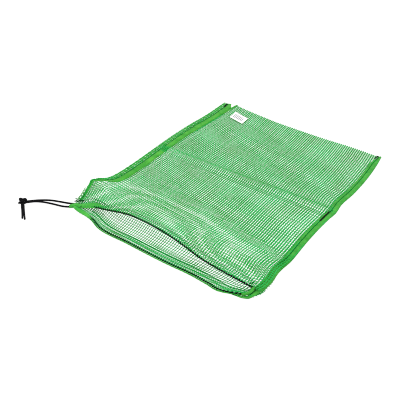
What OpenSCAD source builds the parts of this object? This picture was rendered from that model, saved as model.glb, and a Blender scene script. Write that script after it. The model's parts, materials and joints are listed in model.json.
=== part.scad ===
// Mesh laundry bag with a drawcord mouth, lying flat.
// X runs across the bag, +Y from the mouth to the folded bottom, +Z up.
// The origin is on the resting plane under the middle of the bag.

/* [Bag] */
// Full width, from the edge of the left seam allowance to the right tape's edge
bag_w = 473; // [400:1:580]
// Length from the mouth to the bottom fold
bag_l = 610; // [520:1:760]
// Thickness of one layer of net
net_t = 0.8; // [0.6:0.1:1]
// Clear gap between the two layers of net
layer_gap = 1.6; // [1.2:0.1:2.4]

/* [Side seams] */
// Width of the tape along each side
tape_w = 17; // [12:0.5:20]
// Seam allowance: net that stands out beyond the left tape
allowance_w = 16; // [12:0.5:18]
// Thickness of the tape
tape_t = 0.6; // [0.4:0.1:0.8]
// Diameter of the sewing thread
thread_d = 0.5; // [0.4:0.1:0.6]

/* [Mouth] */
// Depth of the hem, from the mouth edge to its stitches
hem_w = 16; // [14:1:26]
// Length of the front panel that lifts as the lip
lip_l = 200; // [160:5:230]
// Height of the middle of the lip above the lying net
lip_h = 40; // [20:1:60]
// How far the middle of the lip draws back from the mouth
lip_back = 27; // [18:1:40]

/* [Drawcord] */
// Diameter of the cord
cord_d = 3.2; // [2.6:0.1:3.6]
// Length of the cord loop outside the bag
loop_l = 97; // [85:1:130]
// Angle of the loop on the resting plane, from +X
loop_angle = 211; // [204:0.5:216]
// Length of the two free ends after the knot
tail_l = 62; // [40:1:80]
// Angle of the free ends on the resting plane, from +X
tail_angle = 318.5; // [300:0.5:330]
// Cord held back in the gathered corner
reserve_l = 42; // [30:1:46]

/* [Care label] */
// Size of the label across the bag
label_w = 42; // [30:1:50]
// Size of the label along the bag
label_l = 36; // [20:1:40]

/* [Hidden] */

net_green = [0.13, 0.62, 0.22];
tape_green = [0.12, 0.55, 0.13];
thread_green = [0.02, 0.30, 0.08];
cord_black = [0.03, 0.03, 0.035];
label_white = [0.92, 0.92, 0.9];

clear = 0.2;                                  // gap between neighbouring layers
thread_lift = 0.9;                            // keeps the lip's stitches clear of its sloping facets
crease_gap = 1.2;                             // half of the gap at the crease line
half_w = bag_w / 2;
half_l = bag_l / 2;
crease_y = -6;                                // line where the bag folds in half
front_z = net_t + layer_gap;                  // underside of the front net
top_z = front_z + net_t;                      // top of the front net
seam_z = top_z + clear + tape_t;              // top of the side tapes
mouth_l = half_l + crease_y - crease_gap;     // length of the mouth half
net_half_w = half_w - tape_t - clear;         // edge of the net inside the tape
lip_left_x = -half_w + allowance_w + tape_w + 1;  // left edge of the lip, clear of the tape
fold_mid_z = top_z / 2;
tape_end_y = half_l - 14;                     // the tapes stop short of the fold
tape_left_end_y = -half_l + 56;               // the left tape stops short of the gathered corner
thread_left_x = -half_w + allowance_w + 1;    // stitch line at the outer edge of the left tape
thread_right_x = half_w - 2 * tape_w / 3;     // stitch line a third in from the right tape's inner edge
hinge_y = -half_l + lip_l;                    // line where the lip starts to lift

cord_r = cord_d / 2;
channel_r = cord_r + clear;                   // room for the cord in the hem
hem_r = channel_r + net_t;
lip_side_h = 9;                               // lift of the lip beside the side seams
lip_side_back = 14;                           // draw-back of the lip beside the side seams

gather_x = -half_w + 4.5;                     // mouth of the gathered corner, where the cord leaves
gather_y = -half_l + 20;
gather_l = reserve_l + 8;
pivot_out = 6;                                // the loop bends this far outside the gathered corner
bend_room = 3.2;                              // from the bend to the start of each strand
strand_pitch = cord_d + 0.4;                  // distance between the two strands side by side
cord_z = 3.2;                                 // height of the cord inside the gathered corner
hem_left_x = -half_w + 54;                    // left ends of the straight hems
hem_right_x = half_w - tape_w - 2;            // right ends of the straight hems

knot_scale = 2.3;                             // size of the knot's trefoil
knot_reach = 3 * knot_scale + cord_r;
knot_x = gather_x + (loop_l + knot_reach) * cos(loop_angle);
knot_y = gather_y + (loop_l + knot_reach) * sin(loop_angle);
knot_z = knot_scale + cord_r;

label_x = -half_w + 77;
label_y = half_l - 44;
label_t = 0.4;
label_z = top_z + clear;

// A tube with round section r along the points of path; the section stays upright
function tube_ring(p, heading, r, sides) =
    [for (i = [0 : sides - 1])
        let (a = 360 * i / sides)
        p + r * cos(a) * [-sin(heading), cos(heading), 0] + r * sin(a) * [0, 0, 1]];

function heading_at(path, i) =
    let (a = path[max(i - 1, 0)], b = path[min(i + 1, len(path) - 1)])
    atan2(b[1] - a[1], b[0] - a[0]);

// Cap over a ring whose point i faces point sides - 1 - i: a strip of quads between the two halves
function cap_faces(first, sides) =
    [for (i = [0 : sides / 2 - 2])
        each [[first + i, first + i + 1, first + sides - 2 - i],
              [first + i, first + sides - 2 - i, first + sides - 1 - i]]];

function turned(faces) = [for (f = faces) [for (i = [len(f) - 1 : -1 : 0]) f[i]]];

// Two triangles of a quad. The two halves of a ring are split along opposite diagonals,
// so that both faces of a thin sheet crease the same way.
function split_quad(q, other) = other
    ? [[q[0], q[1], q[3]], [q[1], q[2], q[3]]]
    : [[q[0], q[1], q[2]], [q[0], q[2], q[3]]];

// Triangles that join the rings of a swept solid, with a cap at each end
function skin_faces(rings, sides) = concat(
    [for (k = [0 : rings - 2], i = [0 : sides - 1])
        let (j = (i + 1) % sides, near = k * sides, far = near + sides)
        each split_quad([near + i, far + i, far + j, near + j], i >= sides / 2)],
    cap_faces(0, sides),
    turned(cap_faces((rings - 1) * sides, sides)));

module skin(rings) {
    sides = len(rings[0]);
    polyhedron(points = [for (ring = rings) each ring], faces = skin_faces(len(rings), sides));
}

module tube(path, r, sides = 12) {
    skin([for (i = [0 : len(path) - 1]) tube_ring(path[i], heading_at(path, i), r, sides)]);
}

// Height and draw-back of the lip across the bag: a broad rise on the cord side, a slimmer one on the other
function lip_rise(x) = let (c = cos(90 * x / half_w)) x < 0 ? c : c * c;
function lip_height(x) = lip_side_h + (lip_h - lip_side_h) * lip_rise(x);
function lip_draw(x) = lip_side_back + (lip_back - lip_side_back) * lip_rise(x);

// Place of a point of the lip: s is the distance in from the lip's edge, z is from the lying net
function on_lip(x, s, z) =
    let (t = (lip_l - s) / lip_l)
    [x, -half_l + s + lip_draw(x) * t, front_z + z + lip_height(x) * t * t];

// Behind the hem the lip widens to the left, from the gathered corner to the side tape
function lip_left(x0, s) = x0 + (lip_left_x - x0) * max(0, s - hem_w) / (lip_l - hem_w);

module lip_skin(profile, x0, x1, steps) {
    skin([for (k = [0 : steps])
        [for (p = profile)
            let (left = lip_left(x0, p[0]))
            on_lip(left + (x1 - left) * k / steps, p[0], p[1])]]);
}

// Hem section: the panel runs out to the mouth, wraps the cord and returns to the stitch line.
// turn is +1 when the hem turns up from the panel and -1 when it turns down.
function arc(r, a0, a1, steps) = [for (i = [0 : steps]) let (a = a0 + (a1 - a0) * i / steps) [r * cos(a), r * sin(a)]];

function hem_section(panel_end, turn, panel_steps = 1) =
    let (base = turn > 0 ? 0 : net_t, c = [hem_r, hem_r],
         panel_s = [for (i = [0 : panel_steps - 1]) panel_end + (hem_w + 2 - panel_end) * i / panel_steps])
    [for (p = concat(
        [for (s = panel_s) [s, 0]],
        [for (q = arc(hem_r, 270, 90, 10)) q + c],
        [[hem_w, net_t + clear + net_t], [hem_w, net_t + clear]],
        [for (q = arc(channel_r, 90, 270, 10)) q + c],
        [for (i = [panel_steps - 1 : -1 : 0]) [panel_s[i], net_t]]))
        [p[0], base + turn * p[1]]];

// Prism along X of a section given as [y, z] points
module across(x0, x1, section) {
    translate([x0, 0, 0])
        rotate([90, 0, 90])
            linear_extrude(height = x1 - x0)
                polygon(section);
}

// ---- Bottom half ----

module net_bottom() {
    outer_r = top_z / 2;
    inner_r = outer_r - net_t;
    fold_y = half_l - outer_r;
    color(net_green)
        across(-net_half_w, net_half_w, concat(
            [[crease_y + crease_gap, 0]],
            [for (q = arc(outer_r, -90, 90, 12)) q + [fold_y, fold_mid_z]],
            [[crease_y + crease_gap, top_z], [crease_y + crease_gap, front_z]],
            [for (q = arc(inner_r, 90, -90, 12)) q + [fold_y, fold_mid_z]],
            [[crease_y + crease_gap, net_t]]));
}

// Right tape: sewn on top and folded down over the edge
module right_tape(y0, y1) {
    color(tape_green)
        translate([0, y1, 0])
            rotate([90, 0, 0])
                linear_extrude(height = y1 - y0)
                    union() {
                        translate([half_w - tape_w, seam_z - tape_t])
                            square([tape_w, tape_t]);
                        translate([half_w - tape_t, 0])
                            square([tape_t, seam_z]);
                    }
}

// Left tape: a flat strip sewn on top, inside the seam allowance
module left_tape(y0, y1) {
    color(tape_green)
        translate([-half_w + allowance_w, y0, seam_z - tape_t])
            cube([tape_w, y1 - y0, tape_t]);
}

// Row of stitches on top of a tape
module seam_thread(x, y0, y1) {
    stitch_l = 9;
    gap = 1.5;
    count = floor((y1 - y0) / (stitch_l + gap));
    color(thread_green)
        for (i = [0 : count - 1])
            translate([x, y0 + i * (stitch_l + gap), seam_z + thread_d / 2])
                rotate([-90, 0, 0])
                    cylinder(h = stitch_l, d = thread_d, $fn = 24);
}

// Bar tack: close parallel stitches across the end of a seam
module bar_tack(x, y, z, count, length, angle = 0) {
    color(cord_black)
        translate([x, y, z + thread_d / 2])
            rotate([0, 0, angle])
                for (i = [0 : count - 1])
                    translate([-length / 2, (i - (count - 1) / 2) * thread_d * 1.6, 0])
                        rotate([0, 90, 0])
                            cylinder(h = length, d = thread_d, $fn = 24);
}

module label_stitches() {
    stitch_l = 2.6;
    pitch = 4;
    color(thread_green)
        for (x = [-label_w / 2 + 2 : pitch : label_w / 2 - stitch_l])
            translate([label_x + x, label_y + label_l / 2 + 1, label_z + thread_d / 2])
                rotate([0, 90, 0])
                    cylinder(h = stitch_l, d = thread_d, $fn = 24);
}

// ---- Mouth half ----

module net_back_mouth() {
    color(net_green)
        difference() {
            union() {
                translate([0, -half_l, 0])
                    across(hem_left_x, hem_right_x, hem_section(mouth_l, 1));
                translate([-net_half_w, -half_l + hem_w, 0])
                    cube([2 * net_half_w, mouth_l - hem_w, net_t]);
            }
            gather_space();
        }
}

module net_front_mouth() {
    color(net_green)
        translate([-net_half_w, hinge_y + crease_gap, front_z])
            cube([2 * net_half_w, crease_y - hinge_y - 2 * crease_gap, net_t]);
}

module in_gather_frame() {
    translate([gather_x, gather_y, 0])
        rotate([0, 0, loop_angle - 180])
            children();
}

// Room that the gathered corner takes out of the back panel
module gather_space() {
    in_gather_frame()
        translate([-20, -9, -1])
            cube([gather_l + 20.4, 18, 20]);
}

// Gathered corner: a flat sleeve round the two strands, opening towards the loop
module corner_gather() {
    inner_w = 2 * cord_d + 1.2;
    inner_h = cord_d + 0.6;
    color(tape_green)
        in_gather_frame()
            difference() {
                translate([0, -8, 0])
                    cube([gather_l, 16, 2 * cord_z]);
                translate([-1, -inner_w / 2, cord_z - inner_h / 2])
                    cube([gather_l - 1, inner_w, inner_h]);
            }
}

// Stitches that hold the back hem down, in a row on its turned edge
module back_hem_thread() {
    color(thread_green)
        translate([hem_left_x + 2, -half_l + hem_w - 1.5, 2 * net_t + clear + 0.7])
            rotate([0, 90, 0])
                cylinder(h = hem_right_x - hem_left_x - 4, d = thread_d, $fn = 24);
}

module corner_gather_tack() {
    in_gather_frame()
        bar_tack(gather_l - 8, 0, 2 * cord_z, 5, 12, 90);
}

module corner_right_tack() {
    bar_tack(thread_right_x + 3, -half_l + hem_w + 3, seam_z, 3, 6);
}

// ---- Front lip ----

module net_front_lip() {
    color(net_green)
        lip_skin(hem_section(lip_l - crease_gap, -1, 8), hem_left_x, hem_right_x, 36);
}

module front_hem_thread() {
    color(thread_green)
        lip_skin([for (q = arc(thread_d / 2, 0, 315, 7)) q + [hem_w - 2, net_t + thread_d / 2 + thread_lift]],
                 hem_left_x + 2, hem_right_x - 2, 30);
}

// Centre of the cord in the lip's hem, on the lying lip
lip_cord_s = hem_r;
lip_cord_z = net_t - hem_r;

module cord_front_run() {
    color(cord_black)
        lip_skin([for (q = arc(cord_r, 0, 330, 11)) q + [lip_cord_s, lip_cord_z]],
                 hem_left_x + 2, hem_right_x, 40);
}

module cord_back_run() {
    color(cord_black)
        translate([hem_left_x + 2, -half_l + hem_r, hem_r])
            rotate([0, 90, 0])
                cylinder(h = hem_right_x - hem_left_x, r = cord_r, $fn = 48);
}

// Cord that turns round the right corner, from the back hem up to the lip's hem
module cord_corner_turn() {
    x = hem_right_x + 2.4;
    low = [x, -half_l + hem_r, hem_r];
    high = on_lip(x, lip_cord_s, lip_cord_z);
    rise = high - low;
    across_rise = cross([1, 0, 0], rise) / norm(rise);
    bulge = norm(rise) / 2;
    steps = 16;
    sides = 12;
    color(cord_black)
        skin([for (k = [0 : steps])
            let (a = 180 * k / steps,
                 outward = [sin(a), 0, 0] - cos(a) * rise / norm(rise),
                 p = (low + high) / 2 + bulge * outward)
            [for (i = [0 : sides - 1])
                let (b = 360 * i / sides)
                p + cord_r * cos(b) * outward + cord_r * sin(b) * across_rise]]);
}

// ---- Drawcord loop ----

module cord_reserve() {
    color(cord_black)
        in_gather_frame()
            for (s = [-1, 1])
                translate([-pivot_out + 1.3, s * strand_pitch / 2, cord_z])
                    rotate([0, 90, 0])
                        cylinder(h = pivot_out - 1.3 + reserve_l + 4, r = cord_r, $fn = 48);
}

// One strand of the loop, bowed sideways by bow and sinking to the resting plane
module loop_strand(side, bow) {
    steps = 24;
    strand_start = pivot_out + bend_room;
    strand_l = loop_l - strand_start - 0.5;
    color(cord_black)
        tube([for (k = [0 : steps])
            let (t = k / steps,
                 along = strand_start + strand_l * t,
                 off = side * strand_pitch / 2 + bow * sin(180 * t) * sin(180 * t),
                 z = cord_z + (knot_z - cord_z) * t - 0.9 * sin(180 * t))
            [gather_x + along * cos(loop_angle) - off * sin(loop_angle),
             gather_y + along * sin(loop_angle) + off * cos(loop_angle),
             z]], cord_r);
}

// Overhand knot, drawn up tight: a trefoil of cord
module cord_knot() {
    steps = 60;
    sides = 10;
    ring = function (t)
        let (p = [sin(t) + 2 * sin(2 * t), cos(t) - 2 * cos(2 * t), -sin(3 * t)] * knot_scale,
             d = [cos(t) + 4 * cos(2 * t), -sin(t) + 4 * sin(2 * t), -3 * cos(3 * t)],
             u = d / norm(d),
             n = cross(u, [0, 0, 1]) / norm(cross(u, [0, 0, 1])),
             b = cross(n, u))
        [for (i = [0 : sides - 1]) let (a = 360 * i / sides) p + cord_r * (cos(a) * n + sin(a) * b)];
    points = [for (k = [0 : steps - 1]) each ring(360 * k / steps)];
    faces = [for (k = [0 : steps - 1], i = [0 : sides - 1])
        let (k2 = (k + 1) % steps, i2 = (i + 1) % sides)
        [k * sides + i, k * sides + i2, k2 * sides + i2, k2 * sides + i]];
    color(cord_black)
        translate([knot_x, knot_y, knot_z])
            polyhedron(points = points, faces = faces);
}

// Free end of the cord, lying beside its twin
module cord_tail(side, length) {
    steps = 16;
    start = knot_reach + 0.6;
    color(cord_black)
        tube([for (k = [0 : steps])
            let (t = k / steps,
                 along = start + length * t,
                 off = side * (strand_pitch / 2 + 1.5 * t * t),
                 z = cord_r + (knot_z - cord_r) * (1 - t) * (1 - t))
            [knot_x + along * cos(tail_angle) - off * sin(tail_angle),
             knot_y + along * sin(tail_angle) + off * cos(tail_angle),
             z]], cord_r);
}

// ---- Care label ----

module care_label() {
    color(label_white)
        translate([label_x - label_w / 2, label_y - label_l / 2, label_z])
            cube([label_w, label_l, label_t]);
}

net_bottom();
left_tape(crease_y + crease_gap, tape_end_y);  // tape_left_bottom
right_tape(crease_y + crease_gap, tape_end_y);  // tape_right_bottom
seam_thread(thread_left_x, crease_y + 4, tape_end_y - 8);  // thread_left_bottom
seam_thread(thread_right_x, crease_y + 4, tape_end_y - 8);  // thread_right_bottom
bar_tack(thread_left_x + 4, tape_end_y - 3, seam_z, 4, 6);  // tack_left_bottom
bar_tack(thread_right_x, tape_end_y - 3, seam_z, 4, 6);  // tack_right_bottom
label_stitches();
net_back_mouth();
net_front_mouth();
left_tape(tape_left_end_y, crease_y - crease_gap);  // tape_left_mouth
right_tape(-half_l + hem_w, crease_y - crease_gap);  // tape_right_mouth
seam_thread(thread_left_x, tape_left_end_y + 4, crease_y - 4);  // thread_left_mouth
seam_thread(thread_right_x, -half_l + hem_w + 4, crease_y - 4);  // thread_right_mouth
back_hem_thread();
corner_gather();
corner_gather_tack();
corner_right_tack();
cord_back_run();
cord_corner_turn();
net_front_lip();
front_hem_thread();
cord_front_run();
cord_reserve();
loop_strand(-1, -4);  // cord_strand_front
loop_strand(1, 6);  // cord_strand_back
cord_knot();
cord_tail(1, tail_l);  // cord_tail_long
cord_tail(-1, tail_l - 6);  // cord_tail_short
care_label();
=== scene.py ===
import json
import math

import bpy
import numpy as np
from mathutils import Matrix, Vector


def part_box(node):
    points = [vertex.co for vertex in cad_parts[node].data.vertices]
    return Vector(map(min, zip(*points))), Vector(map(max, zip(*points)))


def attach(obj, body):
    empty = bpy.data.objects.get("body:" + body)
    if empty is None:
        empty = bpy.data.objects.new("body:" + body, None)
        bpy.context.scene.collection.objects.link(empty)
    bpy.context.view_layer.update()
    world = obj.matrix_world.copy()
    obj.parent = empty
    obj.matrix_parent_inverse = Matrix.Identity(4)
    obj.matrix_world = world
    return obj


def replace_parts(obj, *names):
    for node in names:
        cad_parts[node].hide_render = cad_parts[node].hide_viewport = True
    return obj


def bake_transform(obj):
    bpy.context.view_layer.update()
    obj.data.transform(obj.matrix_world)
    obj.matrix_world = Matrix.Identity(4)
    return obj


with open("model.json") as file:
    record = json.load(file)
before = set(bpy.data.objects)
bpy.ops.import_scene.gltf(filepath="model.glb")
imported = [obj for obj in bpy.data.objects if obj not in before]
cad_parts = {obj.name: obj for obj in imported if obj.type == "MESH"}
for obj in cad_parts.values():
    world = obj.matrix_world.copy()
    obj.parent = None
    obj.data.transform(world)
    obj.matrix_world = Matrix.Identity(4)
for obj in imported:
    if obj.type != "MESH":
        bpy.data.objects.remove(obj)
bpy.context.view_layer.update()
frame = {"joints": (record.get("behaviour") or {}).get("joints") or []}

# A mesh laundry bag lying flat. Every length is in metres, in the frame's own axes: X across the bag,
# +Y from the mouth to the bottom fold, +Z up. The net is real strands. Strands, tapes, threads and cord
# follow the functions front and back, so they all bend with the same cloth.

MM = 0.001

# ---- Places and sizes from the frame ----

joints = {j["name"]: j for j in frame["joints"]}
tape_lo, tape_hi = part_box("tape_right_bottom")
cord_lo, cord_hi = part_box("cord_back_run")
HALF_W = tape_hi.x
TAPE_W = tape_hi.x - tape_lo.x
ALLOWANCE_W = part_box("tape_left_bottom")[0].x + HALF_W
SEAM_H = tape_hi.z
FOLD_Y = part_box("net_bottom")[1].y
MOUTH_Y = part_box("net_back_mouth")[0].y
CREASE_Y = joints["crease_fold"]["pos_m"][1]
HINGE_Y = joints["lip_open"]["pos_m"][1]
LIP_L = HINGE_Y - MOUTH_Y
CORD_R = cord_hi.z / 2 - cord_lo.z / 2
BRAID_R = 1.22 * CORD_R  # the soft braid swells a little over its core
SLIDE = Vector(joints["cord_pull"]["axis"])
BEND = Vector(joints["cord_swing"]["pos_m"])
KNOT = Vector(joints["tail_swing"]["pos_m"])
BEND_OUT = 6 * MM  # from the gathered corner to the cord's bend
EXIT = BEND - BEND_OUT * SLIDE  # where the cord leaves the gathered corner

# ---- Net and cloth values ----

PITCH_X = 5.4 * MM  # between lengthwise strands
PITCH_Y = 6.8 * MM  # between cross strands
COLUMNS = int(round(2 * HALF_W / PITCH_X))
LONG_W, LONG_H = 0.86 * MM, 0.45 * MM  # half width and half height of a lengthwise strand
CROSS_W, CROSS_H = 0.56 * MM, 0.34 * MM  # the same for a cross strand
WIDE_CROSS_W = 0.70 * MM  # a cross strand of the bottom half
WEAVE_H = 0.25 * MM  # a cross strand goes over and under by this much
HEM_W = 16 * MM  # mouth edge to hem stitches
FRONT_Z = 1.8 * MM  # middle of the front layer, over the table
BACK_Z = 0.7 * MM  # middle of the back layer
BACK_LOW = 0.5 * MM  # the back layer goes no lower than this
WRAP_R = CORD_R + 0.5 * MM  # strands wrap the cord at this radius
HEM_EDGE = 3.8 * MM  # from the cord's middle to the edge of the hem
STEP = 2 * MM  # between the sections of a tape

rng = np.random.default_rng(11)
scene = bpy.context.scene


# ---- Small maths ----

def smooth(t):
    t = np.clip(t, 0.0, 1.0)
    return t * t * (3 - 2 * t)


def bell(d, width):
    return np.exp(-(np.asarray(d) / width) ** 2)


def curve(points, x):
    """Smooth curve through a few (x, y) points, flat beyond its ends."""
    px, py = np.array(points, float).T
    slope = np.gradient(py, px)
    x = np.clip(np.asarray(x, float), px[0], px[-1])
    i = np.clip(np.searchsorted(px, x) - 1, 0, len(px) - 2)
    h = px[i + 1] - px[i]
    t = (x - px[i]) / h
    return ((2 * t**3 - 3 * t**2 + 1) * py[i] + (t**3 - 2 * t**2 + t) * h * slope[i]
            + (3 * t**2 - 2 * t**3) * py[i + 1] + (t**3 - t**2) * h * slope[i + 1])


def along_path(path):
    """Distance of each point of a path from its start."""
    return np.concatenate([[0], np.cumsum(np.linalg.norm(np.diff(path, axis=0), axis=1))])


def point_on(path, length, at):
    """Points of a path at distances from its start; length is along_path(path)."""
    return np.stack([np.interp(at, length, path[:, k]) for k in range(3)], -1)


def flat_x(u):
    """Place across the bag if its sides were straight; u runs from 0 at the left to 1 at the right."""
    return -HALF_W + 2 * HALF_W * u


# Gentle wrinkles, mostly across the bag: (length across, length along, phase) of each wave
WRINKLE_COUNT = 7
TURN = 6.28
WRINKLES = [(rng.uniform(0.25, 0.9), rng.uniform(0.06, 0.19), rng.uniform(0, TURN))
            for _ in range(WRINKLE_COUNT)]


def wrinkle(x, y):
    """From about -1 to 1."""
    total = 0.0
    for across_l, along_l, phase in WRINKLES:
        total = total + np.sin(TURN * (x / across_l + y / along_l) + phase)
    return total / WRINKLE_COUNT


# ---- Outlines of the lying bag ----

# (y, x) along the outer edge of each side
LEFT_EDGE = [(-0.29, -0.221), (-0.262, -0.229), (-0.232, -0.24), (-0.203, -0.245), (-0.17, -0.24),
             (-0.135, -0.236), (-0.08, -0.2355), (-0.02, -0.238), (0.08, -0.2425), (0.15, -0.242),
             (0.22, -0.238), (0.30, -0.2395)]
RIGHT_EDGE = [(-0.315, 0.209), (-0.30, 0.222), (-0.288, 0.231), (-0.271, 0.2365), (-0.247, 0.237),
              (-0.212, 0.2325), (-0.17, 0.2358), (-0.119, 0.234), (-0.06, 0.2335), (-0.01, 0.2355),
              (0.018, 0.238), (0.055, 0.235), (0.10, 0.2385), (0.155, 0.2395), (0.20, 0.238),
              (0.24, 0.235), (0.289, 0.229)]
# (x, y) along the far fold and along the mouth edge of the back layer
FAR_FOLD = [(-0.205, 0.319), (-0.17, 0.3115), (-0.12, 0.304), (-0.06, 0.296), (0.00, 0.2925),
            (0.08, 0.2895), (0.16, 0.29), (0.215, 0.287)]
BACK_MOUTH = [(-0.224, -0.291), (-0.20, -0.2945), (-0.18, -0.2965), (-0.138, -0.3095), (-0.05, -0.312),
              (0.06, -0.3135), (0.115, -0.312), (0.16, -0.3142), (0.194, -0.316), (0.226, -0.30)]
# The far fold is cut in beside the end of the left tape
NOTCH_X = -0.2080
NOTCH_W, NOTCH_L = 4 * MM, 46 * MM
SEAM_END_Y = 0.309  # the net ends here under the left tape
SEAM_STEP_W = 3 * MM
# The left seam rises beside the gathered corner, with a small tuck at its peak
EAR_Y, EAR_H = -0.203, 16 * MM
EAR_L = 28 * MM  # reach along the seam
EAR_W = 50 * MM  # reach into the front layer
EAR_BACK_W = 48 * MM  # reach into the back layer
CORNER_RISE = 2.5 * MM  # the seam stays this high at the gathered corner
TUCK = [(2.5 * MM, -0.209, 6 * MM), (-1.5 * MM, -0.196, 5 * MM)]  # (height, y, length)


def left_x(y):
    return curve(LEFT_EDGE, y)


def right_x(y):
    return curve(RIGHT_EDGE, y)


def fold_line(x):
    beside = smooth((NOTCH_X - x) / SEAM_STEP_W)
    fold = curve(FAR_FOLD, x) * (1 - beside) + SEAM_END_Y * beside
    return fold - NOTCH_L * bell(x - NOTCH_X, NOTCH_W)


def back_mouth(x):
    return curve(BACK_MOUTH, x)


def seam_lift(y):
    """Height of the left seam over where it would lie."""
    tuck = sum(height * bell(y - place, length) for height, place, length in TUCK)
    return EAR_H * bell(y - EAR_Y, EAR_L) + CORNER_RISE * smooth((-0.22 - y) / 0.05) + tuck


# Front lip, from the cord's corner to the other one: (x, draw-back from the mouth, lift)
LIP = [(-0.222, 0.02, 0.004), (-0.19, 0.03, 0.012), (-0.15, 0.033, 0.02), (-0.08, 0.032, 0.036),
       (-0.02, 0.03, 0.038), (0.04, 0.026, 0.034), (0.11, 0.021, 0.022), (0.18, 0.019, 0.017),
       (0.218, 0.022, 0.011)]
LIP_CURVE = 1.9  # power of the lip's rise, from its hinge to its edge


def lip_at(x, column):
    """Draw-back (column 1) or lift (column 2) of the lip's edge."""
    return curve([(p[0], p[column]) for p in LIP], x)


# The mid crease: a narrow valley with a soft rise on each side. (height, place, width) in mm
CREASE_WAVES = [(4.6, 17, 12), (1.2, -10, 7), (-0.6, 0, 5)]
CREASE_AHEAD = 3 * MM  # the valley lies beside the joint's line
CREASE_SLANT = 0.010
CREASE_BACK = 0.85  # share of the crease's shape that the back layer takes


def crease_shape(x, y):
    line = CREASE_Y + CREASE_AHEAD + CREASE_SLANT * (x + HALF_W)
    d = (y - line) / MM
    return MM * sum(height * bell(d - place, width) for height, place, width in CREASE_WAVES)


def across(u, y):
    lo, hi = left_x(y), right_x(y)
    return lo + u * (hi - lo)


def edge_near(x, y, width):
    """1 at the side seams, falling to 0 at width from them."""
    d = np.minimum(x - left_x(y), right_x(y) - x)
    return 1 - smooth(d / width)


# Folds that fan out from the gathered corner
FAN_H, FAN_COUNT = 0.9 * MM, 13
FAN_START, FAN_MIDDLE, FAN_REACH = 12 * MM, 35 * MM, 30 * MM


def corner_fan(x, y):
    r = np.hypot(x - EXIT.x, y - EXIT.y)
    angle = np.arctan2(y - EXIT.y, x - EXIT.x)
    reach = bell(r - FAN_MIDDLE, FAN_REACH) * smooth((r - FAN_START) / (20 * MM))
    return FAN_H * np.sin(FAN_COUNT * angle + 1.0) * reach


SEAM_RISE, SEAM_RISE_W = 0.6 * MM, 35 * MM  # the front layer is a little higher at the side seams
BACK_RISE, BACK_RISE_W = 0.5 * MM, 20 * MM  # and so is the back layer
CREASE_FADE = 30 * MM  # the crease flattens out this near to a seam
WRINKLE_H, WRINKLE_FADE = 1.3 * MM, 50 * MM
WRINKLE_END = 40 * MM  # wrinkles die out over this length at the far fold


def front(u, y, dz=0.0):
    """Point of the front layer. y is where it would lie if the lip were flat, from MOUTH_Y to the fold."""
    x0 = flat_x(u)
    t = np.clip((HINGE_Y - y) / LIP_L, 0, 1)
    y1 = y + lip_at(x0, 1) * t
    x = across(u, y1)
    z = FRONT_Z + SEAM_RISE * edge_near(x, y1, SEAM_RISE_W)
    z = z + lip_at(x0, 2) * t**LIP_CURVE + crease_shape(x, y1) * (1 - edge_near(x, y1, CREASE_FADE))
    z = z + seam_lift(y1) * bell(x - left_x(y1), EAR_W)
    spread = (1 - edge_near(x, y1, WRINKLE_FADE)) * smooth((FOLD_Y - y1) / WRINKLE_END)
    z = z + WRINKLE_H * (0.5 + wrinkle(x, y1)) * spread
    z = z + corner_fan(x, y1)
    return np.stack([x, y1, z + dz], -1)


def back(u, y, dz=0.0):
    """Point of the back layer."""
    x = across(u, y)
    z = BACK_Z + BACK_RISE * edge_near(x, y, BACK_RISE_W)
    z = z + (seam_lift(y) - BACK_LOW) * bell(x - left_x(y), EAR_BACK_W)
    z = z + CREASE_BACK * crease_shape(x, y) * (1 - edge_near(x, y, CREASE_FADE))
    return np.stack([x, y, np.maximum(z, BACK_LOW) + dz], -1)


# ---- Meshes ----

def put(name, data):
    """A new object in the scene."""
    obj = bpy.data.objects.new(name, data)
    scene.collection.objects.link(obj)
    return obj


def new_object(name, points, faces, materials, face_material=None, uv=None):
    """One smooth mesh piece. uv holds a (u, v) pair for each corner of each face."""
    mesh = bpy.data.meshes.new(name)
    mesh.from_pydata(points, [], faces)
    for material in materials:
        mesh.materials.append(material)
    if face_material is not None:
        mesh.polygons.foreach_set("material_index", np.asarray(face_material, np.int32))
    mesh.polygons.foreach_set("use_smooth", np.ones(len(mesh.polygons), bool))
    if uv is not None:
        layer = mesh.uv_layers.new(name="OFBake")
        layer.data.foreach_set("uv", np.asarray(uv, np.float32).ravel())
    mesh.update()
    obj = put(name, mesh)
    return obj


def ring_grid(count, sides):
    """Every quad between rings of points: its ring, its side and its four corners."""
    i, k = np.meshgrid(np.arange(count - 1), np.arange(sides), indexing="ij")
    i, k = i.ravel(), k.ravel()
    low, high = i * sides, (i + 1) * sides
    k1 = (k + 1) % sides
    return i, k, np.stack([low + k, high + k, high + k1, low + k1], 1)


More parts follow.
